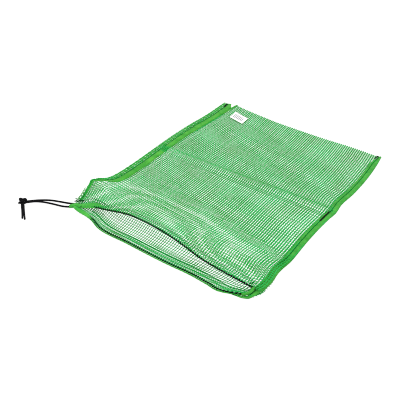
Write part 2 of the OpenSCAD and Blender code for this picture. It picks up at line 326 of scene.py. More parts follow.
class Parts:
    """Collects tubes and sheets that become one piece."""

    def __init__(self):
        self.points, self.faces, self.kind, self.uv, self.count = [], [], [], [], 0

    def add(self, points, faces, uv, kind=0):
        self.points.append(points)
        self.faces.append(faces + self.count)
        self.uv.append(uv)
        self.kind.append(np.full(len(faces), kind))
        self.count += len(points)

    def tube(self, path, width, height, kind=0, sides=4, row=0, rows=1, phase=0.0):
        """A closed tube along path. width and height are half those of its section; UVs fill one row."""
        path = np.asarray(path, float)
        n = len(path)
        tangent = np.gradient(path, axis=0)
        tangent /= np.linalg.norm(tangent, axis=1)[:, None] + 1e-12
        side = np.cross(tangent, (0, 0, 1))
        side /= np.linalg.norm(side, axis=1)[:, None] + 1e-12
        normal = np.cross(side, tangent) * np.broadcast_to(height, n)[:, None]
        side *= np.broadcast_to(width, n)[:, None]
        rings = []
        for k in range(sides):
            a = 2 * math.pi * k / sides + phase
            rings.append(path + side * math.cos(a) + normal * math.sin(a))
        points = np.stack(rings, 1).reshape(-1, 3)
        i, k, faces = ring_grid(n, sides)
        length = along_path(path)
        length /= max(length[-1], 1e-9)
        v0, v1 = row / rows, (row + 1) / rows
        low, high = (v0 + (v1 - v0) * (0.1 + 0.8 * m / sides) for m in (k, k + 1))
        corners = ((length[i], low), (length[i], high), (length[i + 1], high), (length[i + 1], low))
        uv = np.stack([np.stack(corner, 1) for corner in corners], 1)
        self.add(points, faces[:, [0, 3, 2, 1]], uv, kind)
        for end, order in ((0, 1), (n - 1, -1)):
            self.cap(end * sides, sides, order, (length[end], (v0 + v1) / 2), kind)

    def cap(self, first, sides, order, uv_point, kind):
        """Closes an end of the last tube with quads."""
        base = self.count - len(self.points[-1])
        for k in range(0, sides - 2, 2):
            quad = np.array([0, k + 1, k + 2, (k + 3) % sides])[::order] + first + base
            self.faces.append(quad[None, :])
            self.uv.append(np.full((1, 4, 2), uv_point))
            self.kind.append(np.array([kind]))

    def build(self, name, materials):
        points = np.concatenate(self.points).tolist()
        faces = np.concatenate(self.faces).tolist()
        kind, uv = np.concatenate(self.kind), np.concatenate(self.uv)
        return new_object(name, points, faces, materials, kind, uv)


# ---- Materials ----

def srgb(r, g, b):
    """Linear colour from 0-255 sRGB values."""
    linear = [((c / 255 + 0.055) / 1.055) ** 2.4 if c > 10 else c / 255 / 12.92 for c in (r, g, b)]
    return (*linear, 1.0)


class Shader:
    """A Principled material built up from small node groups."""

    def __init__(self, name, roughness=0.7, sheen=0.2, specular=0.15):
        self.material = bpy.data.materials.new(name)
        self.material.use_nodes = True
        self.tree = self.material.node_tree
        self.bsdf = self.tree.nodes["Principled BSDF"]
        self.bsdf.inputs["Roughness"].default_value = roughness
        self.bsdf.inputs["Sheen Weight"].default_value = sheen
        self.bsdf.inputs["Specular IOR Level"].default_value = specular
        self.height = None

    def node(self, kind, **inputs):
        node = self.tree.nodes.new(kind)
        for key, value in inputs.items():
            node.inputs[key.replace("_", " ")].default_value = value
        return node

    def link(self, a, b):
        self.tree.links.new(a, b)

    def coords(self, stretch):
        source = self.tree.nodes.new("ShaderNodeTexCoord")
        mapping = self.node("ShaderNodeMapping", Scale=stretch)
        self.link(source.outputs["Object"], mapping.inputs["Vector"])
        return mapping.outputs["Vector"]

    def noise(self, scale, detail):
        node = self.node("ShaderNodeTexNoise", Scale=scale, Detail=detail)
        self.link(self.coords((1, 1, 1)), node.inputs["Vector"])
        return node.outputs["Fac"]

    def waves(self, scale, direction, stretch=(1, 1, 1), distortion=0.0):
        node = self.node("ShaderNodeTexWave", Scale=scale, Distortion=distortion)
        node.bands_direction = direction
        self.link(self.coords(stretch), node.inputs["Vector"])
        return node.outputs["Fac"]

    def colour(self, factor, dark, light, low=0.3, high=0.7):
        ramp = self.tree.nodes.new("ShaderNodeValToRGB")
        ends = ramp.color_ramp.elements
        ends[0].position, ends[1].position = low, high
        ends[0].color, ends[1].color = srgb(*dark), srgb(*light)
        self.link(factor, ramp.inputs["Fac"])
        self.link(ramp.outputs["Color"], self.bsdf.inputs["Base Color"])

    def rough(self, factor, low, high):
        span = self.node("ShaderNodeMapRange", To_Min=low, To_Max=high)
        self.link(factor, span.inputs["Value"])
        self.link(span.outputs["Result"], self.bsdf.inputs["Roughness"])

    def bump(self, factor, distance, strength):
        node = self.node("ShaderNodeBump", Distance=distance, Strength=strength)
        self.link(factor, node.inputs["Height"])
        if self.height is not None:
            self.link(self.height, node.inputs["Normal"])
        self.height = node.outputs["Normal"]
        self.link(self.height, self.bsdf.inputs["Normal"])

    def grain(self, scale, distance, strength):
        self.bump(self.noise(scale, detail=2), distance, strength)

    def mix(self, a, b, how):
        node = self.tree.nodes.new("ShaderNodeMath")
        node.operation = how
        self.link(a, node.inputs[0])
        self.link(b, node.inputs[1])
        return node.outputs[0]


def net_material(name, direction, dark, light):
    """Knitted polyester yarn: small chain stitches along the strand, and soft colour changes."""
    s = Shader(name, roughness=0.8, sheen=0.06)
    cloud = s.noise(14, detail=4)
    s.colour(cloud, dark, light)
    stitches = s.waves(420, direction, distortion=1.2)
    s.bump(stitches, 0.25 * MM, strength=0.7)
    s.grain(2600, 0.08 * MM, strength=0.5)
    s.rough(s.mix(stitches, cloud, "ADD"), 0.5, 0.8)
    return s.material


def tape_material(name, dark, light):
    """Woven tape: fine ribs across it, with a slightly worn nap."""
    s = Shader(name, roughness=0.8, sheen=0.08)
    cloud = s.noise(55, detail=5)
    s.colour(cloud, dark, light)
    ribs = s.waves(230, "Y", distortion=0.6)
    s.bump(ribs, 0.3 * MM, strength=0.6)
    s.bump(s.waves(520, "X", distortion=0.8), 0.12 * MM, strength=0.4)
    s.grain(1900, 0.1 * MM, strength=0.4)
    s.rough(s.mix(ribs, cloud, "ADD"), 0.55, 0.85)
    return s.material


def thread_material(name, dark, light):
    """Sewing thread: a close diagonal twist."""
    s = Shader(name, sheen=0.02, specular=0.03)
    twist = s.waves(600, "DIAGONAL")
    s.colour(twist, dark, light)
    s.bump(twist, 0.12 * MM, strength=0.7)
    s.rough(twist, 0.4, 0.65)
    return s.material


def cord_material():
    """Braided cord: two sets of strands crossing, paler on the crowns and darker between them."""
    s = Shader("cord_braid", sheen=0.02, specular=0.03)
    one = s.waves(330, "DIAGONAL", distortion=0.4)
    two = s.waves(330, "DIAGONAL", stretch=(-1, 1, 1), distortion=0.4)
    braid = s.mix(one, two, "MAXIMUM")
    s.colour(braid, (3, 3, 4), (24, 23, 26), low=0.5, high=1.0)
    s.bump(braid, 0.35 * MM, strength=0.8)
    s.grain(2400, 0.08 * MM, strength=0.4)
    s.rough(braid, 0.5, 0.75)
    return s.material


def label_material():
    """Satin ribbon with a very fine weave."""
    s = Shader("label_satin", sheen=0.15)
    s.colour(s.noise(60, detail=3), (236, 236, 233), (252, 252, 250))
    weave = s.mix(s.waves(900, "X"), s.waves(900, "Y"), "ADD")
    s.bump(weave, 0.05 * MM, strength=0.5)
    s.rough(weave, 0.4, 0.6)
    return s.material


def print_material():
    """Grey printing ink, a little uneven."""
    s = Shader("label_print", sheen=0.0)
    s.colour(s.noise(700, detail=3), (136, 136, 142), (172, 172, 176))
    s.rough(s.noise(300, detail=2), 0.5, 0.7)
    s.grain(1500, 0.02 * MM, strength=0.3)
    return s.material


NET_LONG = net_material("net_yarn_lengthwise", "Y", (22, 172, 44), (30, 196, 92))
NET_CROSS = net_material("net_yarn_cross", "X", (26, 178, 62), (48, 208, 104))
TAPE = tape_material("seam_tape", (44, 148, 34), (80, 174, 56))
# Dark green for the line under the label's near sides: painted shadow of the label on the net
PAINTED_LABEL_SHADOW = net_material("painted_shadow_under_label", "Y", (18, 122, 32), (34, 148, 48))
TAPE_RIGHT = tape_material("seam_tape_right", (46, 146, 42), (76, 174, 64))
GATHER = tape_material("gathered_hem", (40, 152, 44), (78, 180, 68))
THREAD = thread_material("seam_thread", (2, 96, 30), (8, 128, 44))
THREAD_LEFT = thread_material("seam_thread_left", (6, 122, 42), (18, 150, 58))
TACK = thread_material("tack_thread", (4, 8, 5), (14, 34, 18))
CORD = cord_material()
LABEL = label_material()
PRINT = print_material()
NET = [NET_LONG, NET_CROSS]

# ---- How pieces ride ----


def over_crease(obj):
    """Cloth by the crease, where the bag folds in half: bakes its transform into its mesh."""
    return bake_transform(obj)


def over_lip(obj):
    """Cloth of the lip: bakes its transform into its mesh."""
    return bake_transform(obj)


# ---- Net ----

JITTER = 0.03  # hand-made unevenness, as part of the spacing between strands
BACK_SHIFT = 0.05  # the back layer lies this much to the side, in the same measure
ROW_JITTER = 0.05  # the same for the cross strands
STEPS_ACROSS = 1.5  # points of a cross strand for each column
FRONT_U = (np.arange(COLUMNS) + 0.5) / COLUMNS + rng.normal(0, JITTER, COLUMNS) / COLUMNS
BACK_U = FRONT_U + (BACK_SHIFT + rng.normal(0, JITTER, COLUMNS)) / COLUMNS


def long_strand(parts, path, row, rows, turned=0):
    """A lengthwise pillar of chain stitches, wider at each crossing. Its first turned points are thin."""
    beat = np.where(np.arange(len(path)) % 2 == 0, 1.18, 0.88)
    beat[:turned] = 0.75
    parts.tube(path, LONG_W * beat, LONG_H, row=row, rows=rows)


def cross_strand(parts, path, row, rows, width=CROSS_W):
    parts.tube(path, width, CROSS_H, kind=1, row=row, rows=rows)


def sway(y, phase):
    """Small side-to-side drift of a strand: a short and a long wave."""
    short_wave = 0.08 * np.sin(y / 0.021 + phase)
    long_wave = 0.16 * np.sin(y / 0.067 + 1.7 * phase)
    return (short_wave + long_wave) / COLUMNS


def u_steps(low, high):
    return np.linspace(low, high, int((high - low) * COLUMNS * STEPS_ACROSS) + 2)


def row_count(y0, y1):
    """Cross strands between two lines."""
    return int(round((y1 - y0) / PITCH_Y))


def weave(u, row):
    """A cross strand passes over and under the lengthwise ones."""
    return WEAVE_H * np.sin(math.pi * COLUMNS * u + math.pi * row)


def net_piece(name, layer, us, low, high, lines, part=(0.0, 1.0), hem=None, fold=None, cross_w=CROSS_W):
    """Net between low(x) and high(x). hem(u) and fold(u) give a strand's turned points before and after."""
    parts = Parts()
    us = us[(us >= part[0]) & (us < part[1])]
    rows = len(us) + len(lines)
    for row, u in enumerate(us):
        y0, y1 = low(flat_x(u)), high(flat_x(u))
        y = np.linspace(y0, y1, max(3, int(round(abs(y1 - y0) / (PITCH_Y / 2))) + 1))
        path = layer(u + sway(y, 9 * u), y)
        before = np.empty((0, 3)) if hem is None else hem(u)
        after = np.empty((0, 3)) if fold is None else fold(u)
        after[:, 0] = path[-1, 0]
        long_strand(parts, np.concatenate([before, path, after]), row, rows, len(before))
    u = u_steps(*part)
    for row, line in enumerate(lines):
        cross_strand(parts, layer(u, line(flat_x(u)), weave(u, row)), len(us) + row, rows, cross_w)
    return parts.build(name, NET)


def between(low, high, share):
    """The line that lies at a share of the way from low(x) to high(x)."""
    return lambda x: low(x) + share * (high(x) - low(x))


def rows_between(low, high, count):
    """Lines of cross strands spread evenly between two outlines."""
    shares = (np.arange(count) + 0.5) / count + rng.normal(0, ROW_JITTER, count) / count
    return [between(low, high, share) for share in shares]


def straight(y):
    """A straight line across the bag."""
    return lambda x: np.full_like(np.asarray(x, float), y)


MID = straight(CREASE_Y)
HINGE = straight(HINGE_Y)
LIP_EDGE = straight(MOUTH_Y + WRAP_R)


def back_edge(x):
    return back_mouth(x) + HEM_EDGE


# The back hem is turned slantwise and looks solid; the lip's hem is turned straight and stays open.
# Each row is (share of the hem's width, height in mm).
BACK_HEM_ROWS = [(0.22, 3.5), (0.40, 2.9), (0.58, 2.2), (0.76, 1.8), (0.94, 1.3), (1.12, 1.2)]
LIP_HEM_ROWS = [(0.22, 3.5), (0.94, 1.3)]
BACK_TURN_L = 1.75 * HEM_W  # the back hem's net is turned in this far
# A turned strand lies aside by this many columns: at no height, and more for each mm
BACK_SKEW = (0.55, -0.14)
LIP_SKEW = (0.0, -0.15)


def hem_turn(layer, edge, turn, out, allowance, skew):
    """Strand points from the turned net's end round the cord to the mouth edge. turn: -1 under, +1 over."""
    places = ((allowance, 1.0), (1.3 * HEM_W, 1.0), (HEM_W, 1.2), (0.62 * HEM_W, 2.0), (0.3 * HEM_W, 3.2))
    inner = [place for place in places if place[0] <= allowance]

    def ends(u):
        y0 = float(edge(flat_x(u)))
        points = []
        for s, height in inner:
            aside = (skew[0] + skew[1] * height) / COLUMNS
            points.append(layer(u + aside, y0 + s, turn * height * MM))
        for a in np.linspace(1, 0.25, 4) * math.pi:
            points.append(layer(u, y0 - out * math.sin(a), turn * WRAP_R * (1 - math.cos(a))))
        return np.array(points)
    return ends


def hem_rows(name, layer, edge, turn, lines, part=(0.0, 1.0)):
    """Cross strands of the turned part of a hem."""
    u = u_steps(*part)
    parts = Parts()
    for row, (share, height) in enumerate(lines):
        path = layer(u, edge(flat_x(u)) + share * HEM_W, turn * height * MM)
        cross_strand(parts, path, row, len(lines))
    return parts.build(name, NET)


def fold_turn(above):
    """Quarter turns of the strands at the folded end, from the front layer (above) or the back one."""
    a = np.linspace(0, math.pi / 2, 4)[1:]

    def ends(u):
        y0 = float(fold_line(flat_x(u)))
        top, low = front(u, y0)[2], back(u, y0)[2]
        r = (top - low) / 2
        z = low + r + r * np.cos(a)
        return np.stack([np.zeros_like(a), y0 + r * np.sin(a), z if above else top + low - z], -1)
    return ends


def build_net():
    for name, layer, us in (("front", front, FRONT_U), ("back", back, BACK_U)):
        rows = rows_between(MID, fold_line, row_count(CREASE_Y, FOLD_Y))
        fold = fold_turn(layer is front)
        bottom = net_piece(f"net_{name}_bottom_half", layer, us, MID, fold_line, rows, fold=fold,
                           cross_w=WIDE_CROSS_W)
        over_crease(bottom)
    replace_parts(bottom, "net_bottom")

    rows = rows_between(back_edge, MID, row_count(MOUTH_Y, CREASE_Y))
    hem = hem_turn(back, back_edge, 1, HEM_EDGE, BACK_TURN_L, BACK_SKEW)
    mouth = net_piece("net_back_mouth_half", back, BACK_U, back_edge, MID, rows, hem=hem)
    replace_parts(over_crease(mouth), "net_back_mouth")
    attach(hem_rows("net_back_hem_rows", back, back_edge, 1, BACK_HEM_ROWS), "bag_mouth")

    rows = rows_between(HINGE, MID, row_count(HINGE_Y, CREASE_Y))
    middle = net_piece("net_front_middle", front, FRONT_U, HINGE, MID, rows)
    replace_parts(over_crease(middle), "net_front_mouth")

    rows = rows_between(LIP_EDGE, HINGE, row_count(MOUTH_Y, HINGE_Y))
    hem = hem_turn(front, LIP_EDGE, -1, WRAP_R, HEM_W, LIP_SKEW)
    for side, name, part in ((-1, "left", (0.0, 0.5)), (1, "right", (0.5, 1.0))):
        lip = net_piece("net_lip_" + name, front, FRONT_U, LIP_EDGE, HINGE, rows, part, hem)
        over_lip(lip)
        over_lip(hem_rows("net_lip_hem_rows_" + name, front, LIP_EDGE, -1, LIP_HEM_ROWS, part))
        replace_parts(lip, "net_front_lip")


# ---- Tapes and stitches ----

DASH_RISE = np.array([-0.6, 0.5, 0.8, 0.5, -0.6])  # a stitch dips at its ends, in thread radii


def stitches(name, path, stitch, gap, radius, material=THREAD):
    """A piece made of dashes of thread along a path."""
    parts = Parts()
    length = along_path(path)
    at = 0.0
    while at + stitch < length[-1]:
        dash = point_on(path, length, np.linspace(at, at + stitch, len(DASH_RISE)))
        dash[:, 2] += radius * DASH_RISE
        parts.tube(dash, radius, radius * 0.8, sides=6)
        at += stitch + gap
    return parts.build(name, [material])


def one_tube(name, path, width, height, material, sides):
    """A piece that is a single tube."""
    parts = Parts()
    parts.tube(path, width, height, sides=sides)
    return parts.build(name, [material])


def side_normals(path):
    """Unit vectors in the XY plane, to the left of the way along a path."""
    way = np.gradient(np.asarray(path)[:, :2], axis=0)
    way /= np.linalg.norm(way, axis=1)[:, None]
    return np.stack([-way[:, 1], way[:, 0], np.zeros(len(way))], -1)


def band(name, edge, inward, profile, material, scale, lift, thin=1.0):
    """A tape along an edge: a flat closed band."""
    n, sides = len(edge), len(profile)
    scale, lift, thin = np.broadcast_to(scale, n), np.broadcast_to(lift, n), np.broadcast_to(thin, n)
    rings = []
    for share, extra, height in profile:
        ring = edge + inward * ((share * TAPE_W + extra * MM) * scale)[:, None]
        ring[:, 2] += height * MM * thin + lift
        rings.append(ring)
    points = np.stack(rings, 1).reshape(-1, 3)
    i, k, faces = ring_grid(n, sides)
    u0, u1, v0, v1 = i / n, (i + 1) / n, k / sides, (k + 1) / sides
    uv = np.stack([np.stack(corner, 1) for corner in ((u0, v0), (u1, v0), (u1, v1), (u0, v1))], 1)
    parts = Parts()
    parts.add(points, faces, uv)
    half = sides // 2
    for end, way in ((0, 1), (n - 1, -1)):
        quads = [[k, k + 1, sides - 2 - k, sides - 1 - k][::way] for k in range(half - 1)]
        parts.add(points[end * sides:(end + 1) * sides], np.array(quads), np.zeros((len(quads), 4, 2)))
    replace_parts(over_crease(parts.build(name, [material])), name)


def pucker(y, phase):
    """Small gathers that the stitching pulls into a tape."""
    return np.sin(y / (2.3 * MM) + phase) * 0.5 + np.sin(y / (7.7 * MM) + 2 * phase) * 0.5


# Section points of the tapes, bottom first: (share of the width in from the edge, mm more, height in mm)
GROOVE = 0.66  # the right tape's stitches lie in a groove
RIGHT_SECTION = [(0, 0.4, -1.6), (0.35, 0, -1.7), (0.62, 0, -1.7), (0.8, 0, -1.4), (1, 0, -1.0),
                 (1, 0.3, 0.2), (0.85, 0, 1.2), (GROOVE, 0, 0), (0.38, 0, 1.8), (0, 0, 0.4)]
LEFT_SECTION = [(0, 0, 0.1), (0.35, 0, 0.1), (0.7, 0, 0.1), (1, 0, 0), (1, 0, 0.8), (0.7, 0, 1.3),
                (0.35, 0, 1.5), (0, 0, 0.8)]
RIGHT_TAPE_END = 0.2885  # the y of each tape's far end
LEFT_TAPE_END = 0.3135
SEAM_START = -0.262  # the side seams run to here; the gathers and the corner follow
SEAM_FOLD_START, SEAM_FOLD_L = -0.15, 65 * MM
SEAM_FOLD = 0.74  # share of its width that the left seam loses in its fold


def seam_spread(y):
    """Share of its width that the left seam keeps: it folds up on itself beside the gathered corner."""
    return 1 - SEAM_FOLD * smooth((SEAM_FOLD_START - y) / SEAM_FOLD_L)


def left_seam(y, inset):
    """Line along the left seam, inset from its outer edge."""
    x = left_x(y) + inset * seam_spread(y)
    z = FRONT_Z + SEAM_RISE + seam_lift(y) * bell(x - left_x(y), EAR_W)
    return np.stack([x, y, z], -1)


def right_edge(y):
    return np.stack([right_x(y), y, np.full_like(y, SEAM_H / 2)], -1)


# Where the right tape turns along the mouth, and where and how far it goes into the hem
CORNER_X, CORNER_END_X = 0.23, 0.190
HEM_ENTRY_X, HEM_ENTRY_L, HEM_ENTRY_D = 0.222, 30 * MM, 7 * MM
CORNER_ROUNDS = 12  # times that the corner's line is smoothed


def corner_edge():
    """Outer edge of the right tape: along the side, round the corner, and along the mouth into the hem."""
    y = np.arange(CREASE_Y, SEAM_START, -STEP)
    x = np.linspace(CORNER_X, CORNER_END_X, 24)
    inside = smooth((HEM_ENTRY_X - x) / HEM_ENTRY_L)
    mouth_y = back_mouth(x) - 0.5 * MM + HEM_ENTRY_D * inside
    turn = np.stack([x, mouth_y, SEAM_H / 2 - 0.6 * MM * inside], -1)
    path = np.concatenate([right_edge(y), turn])
    for _ in range(CORNER_ROUNDS):
        path[1:-1] = (path[:-2] + 2 * path[1:-1] + path[2:]) / 4
    length = along_path(path)
    return point_on(path, length, np.arange(0, length[-1], STEP))


TAPE_STITCH = (5.4 * MM, 0.1 * MM, 0.75 * MM)  # stitch, gap and thread radius


def right_tape_taper(half, left):
    """Width share, lift and thickness share of the right tape, at a distance from its end."""
    if half == "bottom":
        return 0.45 + 0.55 * smooth(left / 0.045), 0.0, 1.0
    scale = 0.06 + 0.94 * smooth(left / 0.08)
    lift = 3.2 * MM * bell(left - 0.07, 0.03) + 0.4 * MM * (1 - scale)
    return scale, lift, 0.1 + 0.9 * smooth(left / 0.03)


def build_right_tape():
    bottom = right_edge(np.arange(CREASE_Y, RIGHT_TAPE_END, STEP))
    for half, edge, way in (("bottom", bottom, 1), ("mouth", corner_edge(), -1)):
        inward = side_normals(edge) * way
        run = along_path(edge)
        scale, lift, thin = right_tape_taper(half, run[-1] - run)
        lift = lift + 0.35 * MM * pucker(run, 1.0)
        band("tape_right_" + half, edge, inward, RIGHT_SECTION, TAPE_RIGHT, scale, lift, thin)
        line = edge + inward * (GROOVE * TAPE_W * scale)[:, None]
        line[:, 2] += 0.5 * MM + lift
        thread = over_crease(stitches("thread_right_" + half, line, *TAPE_STITCH))
        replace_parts(thread, "thread_right_" + half)


SELVAGE_STRANDS = 8


def build_selvage(half, y):
    """The seam allowance is the selvage of the net: lengthwise strands close together."""
    parts = Parts()
    for row, inset in enumerate(np.linspace(0.8 * MM, ALLOWANCE_W - 1.5 * MM, SELVAGE_STRANDS)):
        path = left_seam(y, inset)
        path[:, 2] += 0.3 * MM * np.sin(y / (1.9 * MM) + 2.2 * row)
        path[:, 0] += 0.3 * MM * np.sin(y / (2.7 * MM) + 1.3 * row)
        parts.tube(path, 0.75 * MM, 0.45 * MM, row=row, rows=SELVAGE_STRANDS)
    over_crease(parts.build("selvage_left_" + half, [GATHER]))


def build_left_tape():
    bottom_y = np.arange(CREASE_Y, LEFT_TAPE_END, STEP)
    mouth_y = np.arange(SEAM_START, CREASE_Y + 1 * MM, STEP)
    for half, y in (("bottom", bottom_y), ("mouth", mouth_y)):
        edge = left_seam(y, ALLOWANCE_W)
        inward = np.tile([1.0, 0, 0], (len(y), 1))
        scale = seam_spread(y) - 0.6 * smooth((y - 0.292) / 0.021)
        lift = 0.25 * MM * pucker(y, 0.0)
        band("tape_left_" + half, edge, inward, LEFT_SECTION, TAPE, scale, lift)
        line = left_seam(y, ALLOWANCE_W + 0.4 * MM)
        line[:, 2] += 1.2 * MM
        thread = over_crease(stitches("thread_left_" + half, line, *TAPE_STITCH, THREAD_LEFT))
        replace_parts(thread, "thread_left_" + half)
        build_selvage(half, y)


TACK_STEP = 1.1 * MM  # between the stitches of a tack


def tack(name, centre, along, out, count, length, material):
    """Bar tack: close parallel stitches, side by side in the direction out."""
    parts = Parts()
    wave = np.linspace(-1, 1, 9)[:, None]
    for i in range(count):
        middle = Vector(centre) + Vector(out) * (i - (count - 1) / 2) * TACK_STEP
        path = np.array(middle) + np.array(along) * wave * length / 2
        path[:, 2] += 0.4 * MM * (1 - wave[:, 0] ** 2)
        parts.tube(path, 0.6 * MM, 0.5 * MM, sides=6)
    return parts.build(name, [material])


def build_tacks():
    over = (0, 0, 2.2 * MM)
    left = left_seam(np.array([0.296]), ALLOWANCE_W - 1 * MM)[0] + over
    right = right_edge(np.array([0.277]))[0] + (-10 * MM, 0, 0) + over
    middle = right_edge(np.array([CREASE_Y]))[0] + (-GROOVE * TAPE_W, 0, 1.6 * MM)
    corner = front(np.array(0.955), np.array(MOUTH_Y + 6 * MM)) + (0, 0, 3.0 * MM)
    gather = (EXIT.x + 17 * MM, EXIT.y + 10 * MM, 13.5 * MM)
    x = (1, 0, 0)
    # (name, centre, along, out, stitches, length in mm, material, body, CAD node)
    tacks = [("left_far", left, (-0.12, 0.99, 0), x, 4, 19, TACK, "bag_bottom", "tack_left_bottom"),
             ("right_far", right, (0.1, 0.99, 0), x, 3, 15, TACK, "bag_bottom", "tack_right_bottom"),
             # The long stitches on the crease are black thread and also painted shade where the right tape
             # buckles
             ("right_crease_thread_and_shade", middle, (0.05, 1, 0), x, 3, 42, TACK, None, None),
             ("right_mouth", corner, (0.5, 0.85, 0), (0.85, -0.5, 0), 3, 9, THREAD, "bag_mouth",
              "corner_right_tack"),
             ("gather", gather, (0.8, 0.6, 0), (-0.6, 0.8, 0), 3, 21, TACK, "bag_mouth",
              "corner_gather_tack")]
    for name, centre, along, out, count, length, material, body, node in tacks:
        piece = tack("tack_" + name, centre, along, out, count, length * MM, material)
        if body is None:
            over_crease(piece)  # on the crease: baked in place like the cloth
        else:
            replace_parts(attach(piece, body), node)


HEM_STITCH = 3.4 * MM


def build_hem_threads():
    u = np.linspace(0.10, 0.965, 160)
    line = back(u, back_edge(flat_x(u)) + HEM_W, 2.1 * MM)
    thread = stitches("thread_back_hem", line, HEM_STITCH, 0.5 * MM, 0.5 * MM)
    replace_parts(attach(thread, "bag_mouth"), "back_hem_thread")
    for side, name, low, high in ((-1, "left", 0.05, 0.5), (1, "right", 0.5, 0.96)):
        u = np.linspace(low, high, 90)
        line = front(u, LIP_EDGE(flat_x(u)) + HEM_W, 0.9 * MM)
        thread = stitches("thread_lip_hem_" + name, line, HEM_STITCH, 0.6 * MM, 0.4 * MM)
        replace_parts(over_lip(thread), "front_hem_thread")


def build_hem_edge():
    """The net rolls up tight along the edge of the back hem: two rows, each at (distance out, height)."""
    rows = [(HEM_EDGE - 0.2 * MM, 0.5 * MM), (HEM_EDGE - 0.9 * MM, 1.2 * MM)]
    u = np.linspace(0.03, 0.97, 220)
    parts = Parts()
    for row, (out, height) in enumerate(rows):
        path = back(u, back_edge(flat_x(u)) - out, height)
        path[:, 2] += 0.2 * MM * np.sin(flat_x(u) / (1.7 * MM) + row)
        parts.tube(path, 0.9 * MM, 0.6 * MM, sides=6, row=row, rows=len(rows))
    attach(parts.build("net_back_hem_edge", [GATHER]), "bag_mouth")


# ---- Cord ----

def cord_tube(name, path, radius=BRAID_R):
    return one_tube(name, path, radius, radius, CORD, sides=12)


CORD_TURN_U = 0.965  # the cord turns back here, at the right corner


def build_hem_cord():
    u = np.linspace(0.045, CORD_TURN_U, 150)
    run = cord_tube("cord_in_back_hem", back(u, back_edge(flat_x(u)), WRAP_R))
    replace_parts(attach(run, "bag_mouth"), "cord_back_run")
    for side, name, low, high in ((-1, "left", 0.02, 0.5), (1, "right", 0.5, CORD_TURN_U)):
        u = np.linspace(low, high, 80)
        run = cord_tube("cord_in_lip_" + name, front(u, LIP_EDGE(flat_x(u)), -WRAP_R))
        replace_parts(over_lip(run), "cord_front_run")


def build_cord_turn():
    """The cord's half turn at the right corner, with the end of the tape wrapped round it."""
    u, x = np.array(CORD_TURN_U), np.array(0.93 * HALF_W)
    low = back(u, back_edge(x), WRAP_R)
    high = front(u, LIP_EDGE(x), -WRAP_R)
    bulge = np.array([6 * MM, -2 * MM, 0])
    a = np.linspace(0, math.pi, 20)[:, None]
    path = (low + high) / 2 + (low - high) / 2 * np.cos(a) + bulge * np.sin(a)
    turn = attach(cord_tube("cord_turn_right", path), "bag_mouth")
    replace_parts(turn, "cord_corner_turn")
    wrap = path[1:-1]
    radius = 2.7 * MM * (1 + 0.08 * np.sin(2.1 * np.arange(len(wrap))))
    cover = one_tube("tape_corner_wrap", wrap, radius, radius, TAPE_RIGHT, sides=10)
    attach(cover, "bag_mouth")


def plane_line(points, z0, z1, count):
    """Smooth line through a few (x, y) points, from height z0 to z1."""
    t = np.linspace(0, 1, len(points))
    s = np.linspace(0, 1, count)
    x, y = (curve(np.column_stack([t, places]), s) for places in np.array(points).T)
    return np.stack([x, y, z0 + (z1 - z0) * smooth(s)], -1)


def from_exit(along, out):
    """Point outside the gathered corner: along the loop and sideways from it, in mm."""
    side = Vector((-SLIDE.y, SLIDE.x, 0))
    p = EXIT + along * MM * SLIDE + out * MM * side
    return (p.x, p.y)


LOOP_L = (KNOT - EXIT).length / MM
# (along, out) of each strand of the loop, in mm from the exit
LOOP_FRONT = [(-44, 3.4), (-18, 6.4), (-4, 9.0), (6, 9.6), (18, 8.0), (39, 1.5), (61, -4.0), (79, -5.0),
              (94, -1.6), (LOOP_L - 3, 1.6)]
LOOP_BACK = [(-44, -1.6), (-14, -1.0), (4, -2.6), (27, -7.5), (49, -11.3), (73, -10), (92, -6.0),
             (LOOP_L - 3, -2.6)]


def build_loop():
    """Two strands from inside the gathered corner to the knot. They bend where they leave it."""
    strands = (("cord_loop_front", LOOP_FRONT, ("cord_strand_front",)),
               ("cord_loop_back", LOOP_BACK, ("cord_strand_back", "cord_reserve")))
    for name, way, nodes in strands:
        strand = cord_tube(name, plane_line([from_exit(*p) for p in way], 4.6 * MM, 2.6 * MM, 90))
        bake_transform(strand)
        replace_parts(strand, *nodes)


KNOT_SIZE = 2.6 * MM
KNOT_Z = 5.8 * MM
KNOT_STRANDS = 1.25 * MM  # half of the space between the two cords in the knot


def build_knot():
    """Overhand knot in the doubled cord."""
    t = np.linspace(0, 2 * math.pi, 121)[:-1]
    x, y = np.sin(t) + 2 * np.sin(2 * t), np.cos(t) - 2 * np.cos(2 * t)
    core = np.stack([x, y, -np.sin(3 * t)], -1) * KNOT_SIZE
    tangent = np.roll(core, -1, 0) - np.roll(core, 1, 0)
    side = np.cross(tangent, (0, 0, 1))
    side /= np.linalg.norm(side, axis=1)[:, None]
    parts = Parts()
    for off in (-1, 1):
        ring = core + side * off * KNOT_STRANDS + np.array([0, 0, off * 0.5 * MM])
        ring = np.concatenate([ring, ring[:2]])
        ring[:, 2] *= 1.15
        parts.tube(ring + np.array([KNOT.x, KNOT.y, KNOT_Z]), CORD_R * 1.05, CORD_R * 1.05, sides=10)
    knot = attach(parts.build("cord_knot_tied", [CORD]), "cord_loop")
    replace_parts(knot, "cord_knot")


TAIL_POINTS = 60
# Each free end: name, node, side, and length in mm
TAILS = [("cord_end_long", "cord_tail_long", 1, 62), ("cord_end_short", "cord_tail_short", -1, 57)]


